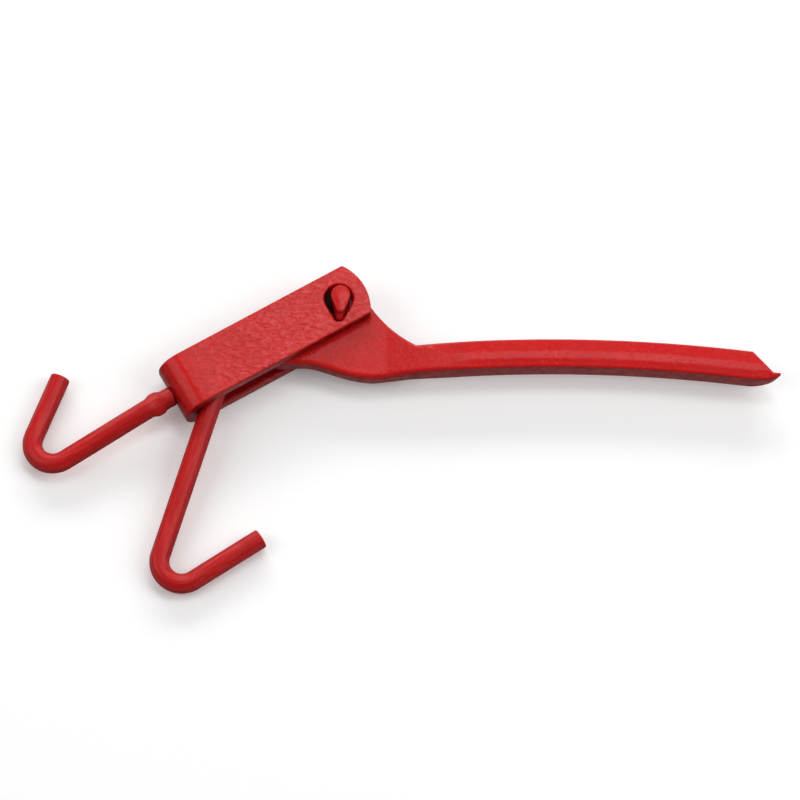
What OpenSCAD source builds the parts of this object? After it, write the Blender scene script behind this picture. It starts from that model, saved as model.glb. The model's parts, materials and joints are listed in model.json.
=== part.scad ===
// Over-centre lever puller with two rod hooks, lying flat as it is put down.
// A U-shaped strap yoke carries one hook in its end wall and a forged lever on a keyed pin.
// The lever's short toe is a fork that carries the second hook.
// +Z up, +X towards the grip's end, millimetres. The bottom arm lies on Z = 0.

/* [Yoke] */
// Width of the flat bar that the yoke is bent from
yoke_w = 29; // [28:0.5:32]
// Thickness of the flat bar
yoke_t = 7; // [6:0.5:8]
// Clear gap between the two arms
yoke_gap = 11; // [10.9:0.1:12]
// Pivot axis to the outer face of the end wall
yoke_reach = 96.4; // [96:0.2:110]
// How far the arms run past the pivot
yoke_nose = 13.4; // [12.5:0.1:16]
// Radius that rounds the ends of the arms
nose_r = 26; // [20:1:40]
// Outer radius of each bend
bend_r = 11; // [9.5:0.5:12]
// Bevel along the edges of the flat bar
edge_bevel = 1.2; // [0.9:0.1:1.5]
// Direction of the yoke from the pivot to its end wall
yoke_angle = 209.7; // [206:0.1:211]

/* [Keyhole and pivot pin] */
// Radius of the round part of the keyhole
keyhole_r = 7.2; // [6.2:0.1:8]
// Radius of the narrow end of the keyhole
lobe_r = 2.6; // [2.4:0.1:3.5]
// Centre of the round part to the centre of the narrow end
lobe_reach = 9.6; // [8.6:0.1:10.5]
// How far the round part lies off the pin's axis, towards the end wall
keyhole_shift = 1.1; // [0:0.1:1.6]
// Radius of the pin where the lever turns on it
pin_r = 4.5; // [4:0.1:5]
// Radius of the pin in the bottom arm
pin_foot_r = 3.9; // [3:0.1:3.9]
// Radius of the pin's riveted foot
foot_head_r = 5.2; // [4.6:0.1:6]
// Height of the pin above the top arm
pin_rise = 5; // [3:0.5:8]
// Radius of the end of the pin's ear
ear_r = 2.2; // [1.6:0.1:2.4]
// Pin axis to the centre of the ear's end
ear_reach = 7.2; // [6:0.1:8]

/* [Lever head] */
// Thickness of the head and of the toe
head_t = 10; // [9:0.1:10.5]
// Radius of the eye round the pivot
eye_r = 12; // [10:0.5:12.5]
// Radius of the end of the toe
toe_r = 10.2; // [9:0.1:11.5]
// Pivot axis to the toe's rivet
toe_reach = 59.7; // [56:0.1:60]
// Direction of the toe from the pivot
toe_angle = 203; // [202.9:0.1:206]
// Radius of the hollow between the eye and the grip
hollow_r = 66.6; // [60:0.2:75]
// Pivot axis to the notch where the hollow meets the grip
notch_x = 37.6; // [35:0.1:40]
// How far the belly swells past the line of the grip
belly = 0.7; // [0:0.1:1.5]
// Radius of the head's edges
head_edge_r = 2.2; // [1:0.1:3]

/* [Grip] */
// Width of the grip
grip_w = 14.9; // [13:0.1:17]
// Height of the grip
grip_h = 14; // [12.5:0.1:16]
// Radius of the grip's bow
bow_r = 775; // [600:5:1200]
// Pivot axis to the crown of the bow
crown_x = 104.6; // [95:0.1:115]
// Offset of the grip's middle line from the pivot at the crown
crown_y = 27.1; // [26.5:0.1:29]
// Pivot axis to the end of the grip
grip_end_x = 219.1; // [200:0.1:240]
// Length of the slanted cut at the end
snipe_l = 13.5; // [9:0.1:15]
// Width of the flat band along the top and the bottom
band_w = 3.7; // [2:0.1:5]
// Width of the sloping side next to the band on the far side
slope_w = 6.7; // [5.5:0.1:7.5]
// Slope of the two sides next to the band, in degrees
side_slope = 8; // [4:0.5:11]
// Radius of the grip's edges
grip_edge_r = 1.2; // [0.6:0.1:1.8]
// Length over which the underside sweeps up at the end
prow_l = 16; // [10:0.5:22]

/* [Toe rivet and eye of the second hook] */
// Radius of the toe's rivet
rivet_r = 4; // [3:0.1:4.3]
// Radius of the rivet's countersunk heads
rivet_head_r = 5; // [4.6:0.1:5.6]
// Thickness of the flattened eye
tang_t = 3.8; // [3:0.1:4.4]
// Outer radius of the flattened eye
tang_r = 9.5; // [8.5:0.1:10]
// Rivet axis to where the flattening begins to thicken
tang_flat = 13; // [11:0.5:15]
// Rivet axis to where the rod is round again
tang_l = 20; // [19:0.5:24]

/* [Hooks] */
// Radius of the hook rods
rod_r = 5; // [4.5:0.1:5.2]
// Radius of the middle line of each hook's bend
hook_bend_r = 11; // [9:0.5:14]
// Radius of the rod where it passes through the end wall
neck_r = 4; // [3:0.1:4.2]
// Radius of the upset head inside the yoke
upset_r = 5.2; // [4.8:0.05:5.3]
// Length of the upset head
upset_l = 6.4; // [4:0.1:6.8]
// End wall to the middle of the pinched ears
ear_gap = 9.7; // [7:0.1:14]
// Middle of the ears to the set in the first hook's rod
set_a = 3.8; // [3.6:0.1:6]
// Set of the first hook's rod to the near side, in degrees
set_turn = 2; // [0:0.1:4]
// How far the pinched ears stand out from the axis
pinch_out = 6.6; // [5.6:0.1:7.5]
// Radius of the crests of the pinched ears
pinch_r = 3.4; // [3:0.1:4]
// Straight length of the first hook past its set
shank_a_l = 48.9; // [40:0.1:70]
// Length of the first hook's tip
tip_a_l = 33.4; // [20:0.1:45]
// Angle that the first hook turns through
turn_a = 143.5; // [120:0.5:165]
// Rivet axis to the set in the second hook's rod
set_b = 34; // [33:0.5:40]
// Straight length of the second hook past its set
shank_b_l = 77.7; // [60:0.1:100]
// Length of the second hook's tip
tip_b_l = 39.8; // [25:0.1:50]
// Angle that the second hook turns through
turn_b = 141; // [120:0.5:165]
// How far the second hook stands open from the end wall, in degrees
hook_b_open = 0.1; // [0:0.1:3.8]

/* [Fits] */
// Radial clearance of the pins in what turns on them
turn_fit = 0.08; // [0.03:0.01:0.1]
// Radial clearance of the riveted ends in their holes
rivet_fit = 0.03; // [0.01:0.01:0.08]
// Radial clearance of the first hook in the end wall
swivel_fit = 0.25; // [0.15:0.05:0.4]
// Clearance of the flattened eye in the fork, each side
fork_fit = 0.3; // [0.2:0.05:0.4]
// Clearance of the upset head in the bend
seat_fit = 0.3; // [0.2:0.05:0.4]
// Clearance of the second hook's rod where it lies beside the end wall
rest_fit = 0.3; // [0.2:0.05:0.6]

/* [Hidden] */
$fn = 64;

yoke_h = 2 * yoke_t + yoke_gap;
mid_z = yoke_h / 2;
inner_wall = yoke_reach - yoke_t;
inner_r = max(1, bend_r - yoke_t);
gap_lo = yoke_t;
gap_hi = yoke_t + yoke_gap;
head_lo = mid_z - head_t / 2;
head_hi = mid_z + head_t / 2;
ear_angle = 270;
foot_rim = 0.1;

// Points on the toe and on the rods, seen from above
toe_x = toe_reach * cos(toe_angle);
toe_y = toe_reach * sin(toe_angle);
kink_a = yoke_reach + ear_gap + set_a;
kink_a_x = kink_a * cos(yoke_angle);
kink_a_y = kink_a * sin(yoke_angle);
hook_a_angle = yoke_angle + set_turn;

// The second hook's rod passes both corners of the end wall's bevel
toe_u = toe_reach * cos(toe_angle - yoke_angle);
toe_v = toe_reach * sin(toe_angle - yoke_angle);
function past_corner(u, v) =
    atan2(v - toe_v, u - toe_u)
    + asin((rod_r + rest_fit) / sqrt(pow(u - toe_u, 2) + pow(v - toe_v, 2)));
hook_b_angle = yoke_angle + hook_b_open + max(
    past_corner(inner_wall, yoke_w / 2 - edge_bevel),
    past_corner(inner_wall + edge_bevel, yoke_w / 2));

// Each hook drops from the middle of the gap until its bend and its tip both touch the ground
function tip_along(l, turn, tip) = l + hook_bend_r * sin(turn) + tip * cos(turn);
function tip_aside(turn, tip) = hook_bend_r * (1 - cos(turn)) + tip * sin(turn);
function low_bend(l, drop, roll) =
    l * drop + hook_bend_r * roll + hook_bend_r * sqrt(drop * drop + roll * roll);
fall = mid_z - rod_r - 0.1;
function roll_for(l, turn, tip, drop) = (fall - tip_along(l, turn, tip) * drop) / tip_aside(turn, tip);
function drop_for(l, turn, tip, lo, hi, n) =
    n == 0 ? (lo + hi) / 2 :
    let (m = (lo + hi) / 2)
    low_bend(l, m, roll_for(l, turn, tip, m)) > fall
        ? drop_for(l, turn, tip, lo, m, n - 1)
        : drop_for(l, turn, tip, m, hi, n - 1);
drop_a = drop_for(shank_a_l, turn_a, tip_a_l, 0, 0.2, 30);
roll_a = roll_for(shank_a_l, turn_a, tip_a_l, drop_a);
drop_b = drop_for(shank_b_l, turn_b, tip_b_l, 0, 0.2, 30);
roll_b = roll_for(shank_b_l, turn_b, tip_b_l, drop_b);

// Outline of the lever, seen from above: far and near edge at each x
grip_half = grip_w / 2;
bow_y = -crown_y - bow_r;
function arc_y(cx, cy, r, x) = cy + sqrt(max(0, r * r - (x - cx) * (x - cx)));
function grip_far(x) = arc_y(crown_x, bow_y, bow_r + grip_half, x);
function grip_near(x) = arc_y(crown_x, bow_y, bow_r - grip_half, x);
function smooth(t) = let (u = min(1, max(0, t))) u * u * (3 - 2 * u);
function mix(a, b, t) = a + (b - a) * t;
function grow(x, a, b) = min(1, max(0, (x - a) / (b - a)));

// The hollow is a circle that touches the eye and passes through the notch
notch_y = grip_far(notch_x);
notch_d = sqrt(notch_x * notch_x + notch_y * notch_y);
hollow_d = eye_r + hollow_r;
hollow_turn = acos((hollow_d * hollow_d + notch_d * notch_d - hollow_r * hollow_r)
    / (2 * hollow_d * notch_d));
hollow_dir = atan2(notch_y, notch_x) + hollow_turn;
hollow_x = hollow_d * cos(hollow_dir);
hollow_y = hollow_d * sin(hollow_dir);
hollow_start = eye_r * cos(hollow_dir);

// The far side of the toe is the common tangent of the toe's end and the eye
flank_dir = toe_angle - 90 - asin((eye_r - toe_r) / toe_reach);
flank_toe_x = toe_x + toe_r * cos(flank_dir);
flank_toe_y = toe_y + toe_r * sin(flank_dir);
flank_eye_x = eye_r * cos(flank_dir);
flank_eye_y = eye_r * sin(flank_dir);

snipe_x = grip_end_x - snipe_l;
tip_w = 1.1;
end_curl = 2.2;
tip_near = grip_near(grip_end_x) + end_curl;
function far_y(x) =
    x < flank_toe_x ? arc_y(toe_x, toe_y, toe_r, x) :
    x < flank_eye_x ? mix(flank_toe_y, flank_eye_y, (x - flank_toe_x) / (flank_eye_x - flank_toe_x)) :
    x < hollow_start ? arc_y(0, 0, eye_r, x) :
    x < notch_x ? hollow_y - sqrt(hollow_r * hollow_r - (x - hollow_x) * (x - hollow_x)) :
    x < snipe_x ? grip_far(x) :
    mix(grip_far(snipe_x), tip_near + tip_w, (x - snipe_x) / snipe_l);

belly_start = -19;
belly_end = 17.5;
belly_mid = 21;
belly_half = 16;
function belly_swell(x) =
    abs(x - belly_mid) > belly_half ? 0 : belly * pow(cos(90 * (x - belly_mid) / belly_half), 2);
function toe_near(x) = mix(toe_y - toe_r, toe_y - toe_r + 1.2, grow(x, toe_x, belly_start));
function near_y(x) =
    x < toe_x ? toe_y - sqrt(max(0, toe_r * toe_r - (x - toe_x) * (x - toe_x))) :
    mix(toe_near(x), grip_near(x), smooth((x - belly_start) / (belly_end - belly_start)))
        - belly_swell(x)
        + end_curl * pow(grow(x, grip_end_x - 19, grip_end_x), 2);

// Heights of the lever's upper side; the underside mirrors it until the end sweeps up
far_drop = slope_w * tan(side_slope);
near_w = grip_w - slope_w - band_w;
near_drop = near_w * tan(side_slope);
band_z = mid_z + grip_h / 2;
brow_z = band_z - far_drop;
head_flat_x = 22.9;
crease_l = 24;
function flat_z(x) =
    x < head_flat_x ? head_hi :
    x < notch_x ? mix(head_hi, brow_z, grow(x, head_flat_x, notch_x)) :
    brow_z + far_drop * sin(90 * grow(x, notch_x, notch_x + crease_l));
function far_z(x) = min(flat_z(x), brow_z);
function near_z(x) = flat_z(x) - near_drop * smooth((x - notch_x - 10.4) / crease_l);
function edge_r(x) =
    let (r = mix(head_edge_r, grip_edge_r, smooth((x - notch_x + 7.6) / 45)))
    min(r, 0.4 * (far_y(x) - near_y(x)), 0.4 * (far_z(x) - under_z(x)));
function crease_w(x) = max(edge_r(x) + 0.2, slope_w * sin(90 * grow(x, notch_x, notch_x + crease_l)));
function prow(x) = (grip_h - 2) * pow(grow(x, grip_end_x - prow_l, grip_end_x), 2);
function under_z(x) = 2 * mid_z - band_z + prow(x);

// One closed ring of the lever at x: near edge, top, far edge, underside
edge_n = 3;
function ring(x) =
    let (yn = near_y(x))
    let (yf = far_y(x))
    let (w = yf - yn)
    let (r = edge_r(x))
    let (zn = near_z(x))
    let (zf = far_z(x))
    let (zt = flat_z(x))
    let (far_in = min(crease_w(x), 0.55 * w))
    let (near_in = min(max(r + 0.1, near_w), 0.4 * w))
    let (lift = prow(x))
    let (bn = min(2 * mid_z - zn + lift, zn - 2.2 * r))
    let (bf = min(2 * mid_z - zf + lift, zf - 2.2 * r))
    let (bt = min(2 * mid_z - zt + lift, zt - 2.2 * r))
    concat(
        [for (i = [0:edge_n]) let (a = 90 * i / edge_n)
            [x, yn + r - r * cos(a), zn - r + r * sin(a)]],
        [[x, yn + near_in, zt]],
        [[x, yf - far_in, zt]],
        [for (i = [0:edge_n]) let (a = 90 * i / edge_n)
            [x, yf - r + r * sin(a), zf - r + r * cos(a)]],
        [for (i = [0:edge_n]) let (a = 90 * i / edge_n)
            [x, yf - r + r * cos(a), bf + r - r * sin(a)]],
        [[x, yf - far_in, bt]],
        [[x, yn + near_in, bt]],
        [for (i = [0:edge_n]) let (a = 90 * i / edge_n)
            [x, yn + r - r * sin(a), bn + r - r * cos(a)]]
    );

function steps(a, b, n) = [for (i = [0:n - 1]) a + (b - a) * i / n];
stations = concat(
    [for (a = [12:13:77]) toe_x - toe_r * cos(a)],
    steps(toe_x, flank_toe_x > toe_x ? flank_toe_x : toe_x + 4, 1),
    steps(toe_x + 5, flank_eye_x - 1, 6),
    steps(flank_eye_x - 1, flank_eye_x + 5, 2),
    steps(flank_eye_x + 5, hollow_start, 5),
    steps(hollow_start, hollow_start + 4, 4),
    steps(hollow_start + 4, notch_x, 10),
    steps(notch_x, notch_x + crease_l, 9),
    steps(notch_x + crease_l, notch_x + crease_l + 16, 3),
    steps(notch_x + crease_l + 16, grip_end_x - 19, 11),
    steps(grip_end_x - 19, snipe_x, 2),
    steps(snipe_x, grip_end_x, 9),
    [grip_end_x]
);

module loft(rings) {
    n = len(rings);
    m = len(rings[0]);
    points = [for (r = rings) each r];
    sides = [for (i = [0:n - 2]) for (j = [0:m - 1]) let (k = (j + 1) % m)
        each [[i * m + j, i * m + k, (i + 1) * m + k], [i * m + j, (i + 1) * m + k, (i + 1) * m + j]]];
    start = [[for (j = [m - 1:-1:0]) j]];
    finish = [[for (j = [0:m - 1]) (n - 1) * m + j]];
    polyhedron(points, concat(sides, start, finish), convexity = 6);
}

// Outline of two circles and the straight lines that touch both
module teardrop(r1, r2, d) {
    a = acos((r1 - r2) / d);
    circle(r1);
    translate([d, 0])
        circle(r2);
    polygon([
        [r1 * cos(a), r1 * sin(a)],
        [d + r2 * cos(a), r2 * sin(a)],
        [d + r2 * cos(a), -r2 * sin(a)],
        [r1 * cos(a), -r1 * sin(a)]
    ]);
}

module along_yoke() {
    rotate([0, 0, yoke_angle])
        children();
}

module bend_end(x, z0, z1, r) {
    translate([x - r, z0 + r])
        circle(r);
    translate([x - r, z1 - r])
        circle(r);
    translate([x - r, z0 + r])
        square([r, z1 - z0 - 2 * r]);
}

module strap_side() {
    start = -yoke_nose - 1;
    difference() {
        union() {
            translate([start, 0])
                square([yoke_reach - bend_r - start, yoke_h]);
            bend_end(yoke_reach, 0, yoke_h, bend_r);
        }
        translate([start - 1, gap_lo])
            square([inner_wall - inner_r - start + 1, yoke_gap]);
        bend_end(inner_wall, gap_lo, gap_hi, inner_r);
    }
}

// Bevels the four long outer edges and the two upright inner edges at the end wall
module strap_bevels() {
    s = edge_bevel * sqrt(2);
    for (v = [-yoke_w / 2, yoke_w / 2])
        for (z = [0, yoke_h])
            translate([yoke_reach / 2 - bend_r, v, z])
                rotate([45, 0, 0])
                    cube([yoke_reach + 2.5 * yoke_nose - bend_r, s, s], center = true);
    for (v = [-yoke_w / 2, yoke_w / 2])
        for (u = [inner_wall, yoke_reach])
            translate([u, v, mid_z])
                rotate([0, 0, 45])
                    cube([s, s, yoke_h], center = true);
}

module yoke() {
    color([0.74, 0.08, 0.09])
        difference() {
            along_yoke()
                difference() {
                    intersection() {
                        translate([0, yoke_w / 2, 0])
                            rotate([90, 0, 0])
                                linear_extrude(yoke_w)
                                    strap_side();
                        union() {
                            translate([nose_r - yoke_nose, 0, -1])
                                cylinder(r = nose_r, h = yoke_h + 2, $fn = 96);
                            translate([nose_r - yoke_nose, -yoke_w, -1])
                                cube([yoke_reach, 2 * yoke_w, yoke_h + 2]);
                        }
                    }
                    strap_bevels();
                    translate([inner_wall - 1, 0, mid_z])
                        rotate([0, 90, 0])
                            cylinder(r = neck_r + swivel_fit, h = yoke_t + 2);
                }
            translate([keyhole_shift * cos(200), keyhole_shift * sin(200), gap_hi - 0.5])
                rotate([0, 0, ear_angle])
                    linear_extrude(yoke_t + 1.5)
                        teardrop(keyhole_r, lobe_r, lobe_reach);
            translate([0, 0, -1])
                cylinder(r = pin_foot_r + rivet_fit, h = yoke_t + 2);
            rotate_extrude()
                polygon([[0, -1], [foot_head_r + rivet_fit, -1], [foot_head_r + rivet_fit, foot_rim],
                    [pin_foot_r + rivet_fit, foot_rim + foot_head_r - pin_foot_r], [0, 3]]);
        }
}

module pivot_pin() {
    top = yoke_h + pin_rise;
    color([0.70, 0.07, 0.08]) {
        rotate_extrude()
            polygon([[0, foot_rim], [foot_head_r, foot_rim],
                [pin_foot_r, foot_rim + foot_head_r - pin_foot_r],
                [pin_foot_r, gap_lo], [pin_r, gap_lo], [pin_r, top - 0.8], [pin_r - 0.8, top], [0, top]]);
        rotate([0, 0, ear_angle]) {
            translate([0, 0, gap_hi + 0.6])
                linear_extrude(top - 0.8 - gap_hi - 0.6)
                    teardrop(pin_r, ear_r, ear_reach);
            translate([0, 0, top - 0.8])
                linear_extrude(0.45)
                    teardrop(pin_r - 0.45, ear_r - 0.45, ear_reach);
        }
    }
}

module lever() {
    slot_z = tang_t / 2 + fork_fit;
    sink = rivet_head_r - rivet_r;
    color([0.74, 0.08, 0.09])
        difference() {
            loft([for (x = stations) ring(x)]);
            cylinder(r = pin_r + turn_fit, h = yoke_h);
            translate([toe_x, toe_y, 0]) {
                rotate([0, 0, toe_angle])
                    translate([-tang_r - 1, -2 * toe_r, mid_z - slot_z])
                        cube([tang_r + toe_r + 5, 4 * toe_r, 2 * slot_z]);
                cylinder(r = rivet_r + rivet_fit, h = yoke_h);
                rotate_extrude()
                    polygon([[0, head_hi - sink - 1], [rivet_r + rivet_fit, head_hi - sink],
                        [rivet_head_r + rivet_fit, head_hi], [rivet_head_r + rivet_fit, yoke_h], [0, yoke_h]]);
                rotate_extrude()
                    polygon([[0, head_lo + sink + 1], [rivet_r + rivet_fit, head_lo + sink],
                        [rivet_head_r + rivet_fit, head_lo], [rivet_head_r + rivet_fit, 0], [0, 0]]);
            }
        }
}

module toe_rivet() {
    sink = rivet_head_r - rivet_r;
    color([0.66, 0.07, 0.08])
        translate([toe_x, toe_y, 0])
            rotate_extrude()
                polygon([[0, head_lo], [rivet_head_r, head_lo], [rivet_r, head_lo + sink],
                    [rivet_r, head_hi - sink], [rivet_head_r, head_hi], [0, head_hi]]);
}

// A rounded joint between two lengths of rod that run along X
module rod_joint() {
    rotate([0, 90, 0])
        sphere(r = rod_r + 0.05);
}

// Straight shank along +X, a bend and a straight tip; side is 1 for a left turn, -1 for a right one
module j_hook(shank, turn, tip, side) {
    rotate([0, 90, 0])
        cylinder(r = rod_r, h = shank);
    translate([shank, 0, 0])
        rod_joint();
    translate([shank, side * hook_bend_r, 0]) {
        rotate([0, 0, side > 0 ? -90 : 90 - turn])
            rotate_extrude(angle = turn)
                translate([hook_bend_r, 0])
                    circle(r = rod_r);
        rotate([0, 0, side * (turn - 90)])
            translate([hook_bend_r, 0, 0]) {
                rotate([0, 0, 90])
                    rod_joint();
                rotate([-side * 90, 0, 0]) {
                    cylinder(r = rod_r, h = tip - 0.6);
                    translate([0, 0, tip - 0.6])
                        cylinder(r1 = rod_r, r2 = rod_r - 0.6, h = 0.6);
                }
            }
    }
}

// Upset head, neck and pinched ears of the first hook, then its J
module hook_a() {
    seat = inner_wall - seat_fit;
    flat = yoke_gap / 2 - inner_r;
    // Where the bend's inner radius stands at the height of the upset head
    curve = inner_r - sqrt(inner_r * inner_r - pow(upset_r - 0.8 - flat, 2));
    lift_in = seat - curve;
    color([0.78, 0.10, 0.10])
        along_yoke()
            translate([0, 0, mid_z]) {
                rotate([0, 90, 0])
                    rotate_extrude()
                        polygon([[0, lift_in - upset_l], [upset_r - 1, lift_in - upset_l],
                            [upset_r, lift_in - upset_l + 1], [upset_r, lift_in - 1],
                            [upset_r - 0.8, lift_in], [neck_r, lift_in],
                            [neck_r, yoke_reach + 0.5], [rod_r - 0.4, yoke_reach + 0.5],
                            [rod_r, yoke_reach + 1.1], [rod_r, kink_a], [0, kink_a]]);
                for (v = [-1, 1])
                    translate([kink_a - set_a, v * (pinch_out - pinch_r), 0])
                        sphere(r = pinch_r);
                translate([kink_a, 0, 0]) {
                    rod_joint();
                    rotate([asin(roll_a), asin(drop_a), set_turn])
                        j_hook(shank_a_l, turn_a, tip_a_l, -1);
                }
            }
}

// Flattened eye in the fork, then the rod with its set and its J
module hook_b() {
    half = tang_t / 2;
    over = rod_r + 0.2;
    color([0.78, 0.10, 0.10])
        translate([toe_x, toe_y, mid_z])
            difference() {
                rotate([0, 0, hook_b_angle]) {
                    translate([0, 0, -half])
                        cylinder(r = tang_r, h = tang_t);
                    intersection() {
                        translate([tang_r - 4, 0, 0])
                            rotate([0, 90, 0])
                                cylinder(r = rod_r, h = set_b - tang_r + 4);
                        translate([0, rod_r + 1, 0])
                            rotate([90, 0, 0])
                                linear_extrude(2 * rod_r + 2)
                                    polygon([[0, -half], [tang_flat, -half], [tang_l, -over],
                                        [set_b + 1, -over], [set_b + 1, over], [tang_l, over],
                                        [tang_flat, half], [0, half]]);
                    }
                    translate([set_b, 0, 0]) {
                        rod_joint();
                        rotate([-asin(roll_b), asin(drop_b), 0])
                            j_hook(shank_b_l, turn_b, tip_b_l, 1);
                    }
                }
                translate([0, 0, -yoke_h])
                    cylinder(r = rivet_r + turn_fit, h = 2 * yoke_h);
            }
}

// The part's origin is under the middle of its outline
function bend_along(shank, drop, roll) =
    shank * cos(asin(drop)) - hook_bend_r * roll * drop;
function bend_aside(roll) = hook_bend_r * cos(asin(roll));
hook_out = hook_bend_r * cos(5.5) + rod_r;
min_x = kink_a_x + bend_along(shank_a_l, drop_a, roll_a) * cos(hook_a_angle)
    + bend_aside(roll_a) * cos(hook_a_angle - 90) - hook_out;
b_run = set_b + bend_along(shank_b_l, drop_b, roll_b);
min_y = toe_y + b_run * sin(hook_b_angle) + bend_aside(roll_b) * sin(hook_b_angle + 90) - hook_out;
max_x = grip_end_x;
corner_u = nose_r - yoke_nose - sqrt(nose_r * nose_r - yoke_w * yoke_w / 4);
max_y = corner_u * sin(yoke_angle) - yoke_w / 2 * cos(yoke_angle);
origin_x = (min_x + max_x) / 2;
origin_y = (min_y + max_y) / 2;

module placed() {
    translate([-origin_x, -origin_y, 0])
        children();
}

placed() yoke();
placed() pivot_pin();
placed() lever();
placed() toe_rivet();
placed() hook_a();
placed() hook_b();
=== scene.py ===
import json
import math

import bmesh
import bpy
from mathutils import Matrix, Vector, geometry


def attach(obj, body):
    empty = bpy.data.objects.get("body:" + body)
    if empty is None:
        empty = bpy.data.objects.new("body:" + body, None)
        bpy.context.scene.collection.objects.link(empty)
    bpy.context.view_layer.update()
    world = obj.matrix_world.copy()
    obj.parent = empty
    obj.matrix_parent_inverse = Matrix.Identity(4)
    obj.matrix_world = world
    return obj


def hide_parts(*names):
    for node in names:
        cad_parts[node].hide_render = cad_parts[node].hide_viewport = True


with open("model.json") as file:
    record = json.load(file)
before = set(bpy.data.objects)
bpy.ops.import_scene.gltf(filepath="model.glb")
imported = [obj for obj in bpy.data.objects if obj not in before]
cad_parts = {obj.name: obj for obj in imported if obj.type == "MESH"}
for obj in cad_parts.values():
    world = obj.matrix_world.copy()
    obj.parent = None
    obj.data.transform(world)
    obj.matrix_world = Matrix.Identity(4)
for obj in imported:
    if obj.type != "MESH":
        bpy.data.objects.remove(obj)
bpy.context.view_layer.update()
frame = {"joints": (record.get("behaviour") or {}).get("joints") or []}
scene = bpy.context.scene
mm = 0.001
jointAt = {j["name"]: j for j in frame["joints"]}
pivotAt = Vector(jointAt["lever_turn"]["pos_m"]) / mm
rivetAt = Vector(jointAt["second_hook_swing"]["pos_m"]) / mm
yokeAxis = Vector(jointAt["first_hook_swivel"]["axis"])  # from the pivot towards the end wall
yokeSide = Vector((-yokeAxis.y, yokeAxis.x, 0))
midZ = pivotAt.z
print("frame loaded: pivot", [round(v, 2) for v in pivotAt])


def mix(a, b, t):
    return a + (b - a) * t


def grow(x, a, b):
    return min(1.0, max(0.0, (x - a) / (b - a)))


def smooth(t):
    t = min(1.0, max(0.0, t))
    return t * t * (3 - 2 * t)


def span(a, b, n):
    return [a + (b - a) * i / n for i in range(n)]


def paintColour(red, green, blue):  # from screen values, 0 to 255, to linear light
    def linear(v):
        v /= 255
        return v / 12.92 if v <= 0.04045 else ((v + 0.055) / 1.055) ** 2.4
    return (linear(red), linear(green), linear(blue), 1.0)


class Socket:  # an output, with the arithmetic that is used on it
    def __init__(self, tree, link):
        self.tree = tree
        self.link = link

    def math(self, operation, other=None):
        inputs = {0: self} if other is None else {0: self, 1: other}
        return self.tree.add("ShaderNodeMath", {"operation": operation}, inputs)

    def also(self, output):  # another output of the same node
        return Socket(self.tree, self.link.node.outputs[output])

    def __add__(self, other):
        return self.math("ADD", other)

    def __sub__(self, other):
        return self.math("SUBTRACT", other)

    def __mul__(self, other):
        return self.math("MULTIPLY", other)

    def __pow__(self, other):
        return self.math("POWER", other)

    def __abs__(self):
        return self.math("ABSOLUTE")

    def __rsub__(self, other):
        return self.tree.add("ShaderNodeMath", {"operation": "SUBTRACT"}, {0: other, 1: self})

    __radd__ = __add__


class Tree:  # a node tree of either kind
    def __init__(self, nodeTree):
        self.nodeTree = nodeTree

    def add(self, kind, settings=None, inputs=None, output=0):
        made = self.nodeTree.nodes.new(kind)
        for key, value in (settings or {}).items():
            setattr(made, key, value)
        for key, value in (inputs or {}).items():
            if isinstance(value, Socket):
                self.nodeTree.links.new(value.link, made.inputs[key])
            else:
                made.inputs[key].default_value = value
        return Socket(self, made.outputs[output]) if len(made.outputs) else None


def blendColour(tree, amount, first, second):
    return tree.add("ShaderNodeMix", {"data_type": "RGBA"}, {0: amount, 6: first, 7: second}, 2)


def ramp(tree, value, low, high):  # 0 below low, 1 above high
    return tree.add("ShaderNodeMapRange", {"interpolation_type": "SMOOTHSTEP"}, {
        0: value, 1: low, 2: high, 3: 0.0, 4: 1.0})


# gloss paint over forged and bent steel: colours as screen values, heights and places in mm
plainPaint = {"drawn": (1.0, 1.0, 1.0), "keyholeShade": 0.0, "bend": None, "inner": 0.0}
# each paint also sets how much painted glint lies on the peel's crests, and how much painted shade on flanks
# and undersides, on the lower arm's inner face and in the keyhole
paints = {
    "yokePaint": {"colour": (206, 18, 18), "deep": (184, 11, 12), "rough": 0.25, "gloss": 0.38,
                  "peel": 0.32, "lump": 0.26, "pits": 0.04, "fine": 560.0, "drawn": (0.46, 1.0, 1.0),
                  "glintShare": 0.60, "flank": 0.84, "keyholeShade": 0.9, "inner": 0.8,
                  "calm": (48.0, 90.0), "calmBy": 0.75, "bend": (84.0, 90.0), "bendDull": 0.45},
    "pinPaint": {"colour": (202, 18, 18), "deep": (182, 12, 13), "rough": 0.25, "gloss": 0.27,
                 "peel": 0.10, "lump": 0.14, "pits": 0.05, "fine": 760.0, "glintShare": 0.12, "flank": 0.5},
    "leverPaint": {"colour": (205, 17, 18), "deep": (186, 11, 12), "rough": 0.29, "gloss": 0.25,
                   "peel": 0.11, "lump": 0.17, "pits": 0.04, "fine": 640.0, "drawn": (0.8, 1.0, 1.0),
                   "glintShare": 0.12, "flank": 0.88, "keyholeShade": 0.95},
    "rivetPaint": {"colour": (194, 17, 18), "deep": (174, 11, 12), "rough": 0.32, "gloss": 0.27,
                   "peel": 0.08, "lump": 0.10, "pits": 0.05, "fine": 760.0, "glintShare": 0.10, "flank": 0.4},
    "rodPaint": {"colour": (195, 16, 18), "deep": (158, 9, 11), "rough": 0.37, "gloss": 0.26,
                 "peel": 0.22, "lump": 0.28, "pits": 0.08, "fine": 760.0, "drawn": (1.0, 1.0, 0.10),
                 "glintShare": 0.28, "flank": 0.68},
}
paintedKeyholeShade = {"middle": (-2.2, 0.0, 0.0), "from": 5.6, "to": 7.0, "below": 24.4, "fade": 1.2,
                "colour": (34, 6, 7), "clean": (12.6, 13.3)}  # painted shade in the keyhole's recess round the pivot pin
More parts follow.
